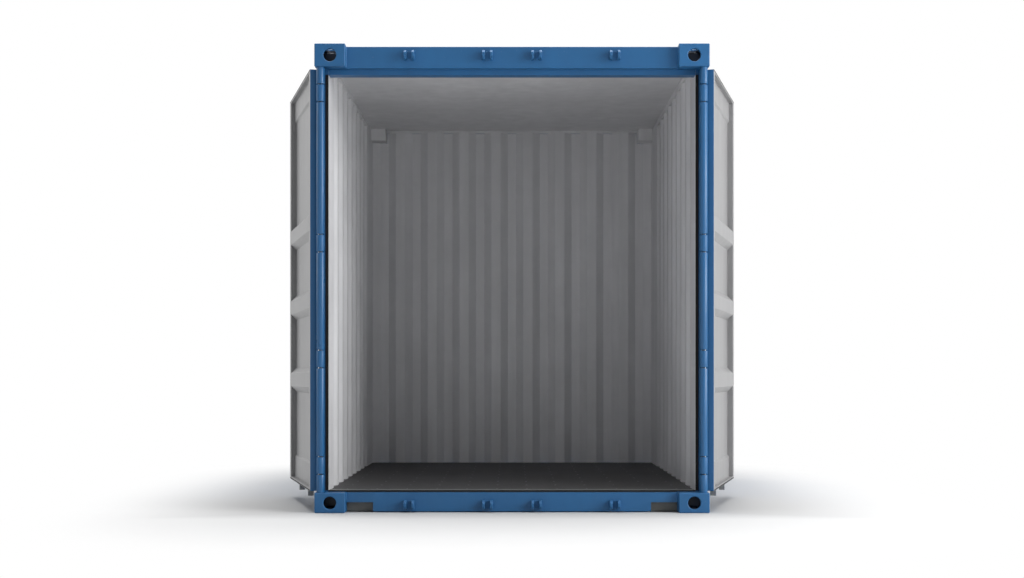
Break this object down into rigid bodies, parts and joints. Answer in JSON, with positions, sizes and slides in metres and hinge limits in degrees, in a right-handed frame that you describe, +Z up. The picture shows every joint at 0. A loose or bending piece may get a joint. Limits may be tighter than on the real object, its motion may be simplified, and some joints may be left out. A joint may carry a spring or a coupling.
{
  "type": "ten-foot high-cube shipping container with two swung-back end doors",
  "caption": "Blue steel shipping container, short and tall, with pale walls inside, a dark floor, corner castings and two hinged doors swung back beside it.",
  "frame": {"origin": "middle of the footprint, on the plane that the four lower corner castings stand on", "axes": "+X to the right seen from the door end, +Y from the door end into the container, +Z up"},
  "size_m": [3.0918, 2.991, 2.896],
  "materials": {
    "frame_paint": "satin blue paint on welded steel",
    "sheet_paint": "blue paint outside and pale grey paint inside, on pressed steel sheet",
    "zinc_coat": "dull zinc coat",
    "rubber": "matt black rubber",
    "floor_board": "dark coated plywood"
  },
  "bodies": {
    "container": {"bottom_side_rail_left": "frame_paint", "bottom_side_rail_right": "frame_paint", "cam_keepers": "frame_paint", "cross_members": "frame_paint", "door_end_bottom_casting_left": "frame_paint", "door_end_bottom_casting_right": "frame_paint", "door_end_top_casting_left": "frame_paint", "door_end_top_casting_right": "frame_paint", "door_header": "frame_paint", "door_post_left": "frame_paint", "door_post_right": "frame_paint", "door_sill": "frame_paint", "end_wall": "sheet_paint", "floor": "floor_board", "hinge_pins_left": "zinc_coat", "hinge_pins_right": "zinc_coat", "post_seals": "rubber", "rear_bottom_casting_left": "frame_paint", "rear_bottom_casting_right": "frame_paint", "rear_bottom_rail": "frame_paint", "rear_post_left": "frame_paint", "rear_post_right": "frame_paint", "rear_top_casting_left": "frame_paint", "rear_top_casting_right": "frame_paint", "rear_top_rail": "frame_paint", "roof": "sheet_paint", "side_wall_left": "sheet_paint", "side_wall_right": "sheet_paint", "sill_seal": "rubber", "top_side_rail_left": "frame_paint", "top_side_rail_right": "frame_paint"},
    "left_door": {"door_frame_left": "sheet_paint", "door_handles_left": "zinc_coat", "door_hinges_left": "frame_paint", "door_lock_rods_left": "zinc_coat", "door_panel_left": "sheet_paint", "door_rod_guides_left": "frame_paint", "door_seal_left": "rubber"},
    "right_door": {"door_frame_right": "sheet_paint", "door_handles_right": "zinc_coat", "door_hinges_right": "frame_paint", "door_lock_rods_right": "zinc_coat", "door_panel_right": "sheet_paint", "door_rod_guides_right": "frame_paint", "door_seal_right": "rubber"}
  },
  "joints": [
    {"name": "left_door_hinge", "type": "hinge", "parent": "container", "child": "left_door", "pos_m": [-1.184, -1.4675, 1.45], "axis": [0, 0, -1], "range_deg": [-255, 7]},
    {"name": "right_door_hinge", "type": "hinge", "parent": "container", "child": "right_door", "pos_m": [1.184, -1.4675, 1.45], "axis": [0, 0, 1], "range_deg": [-255, 7]}
  ]
}
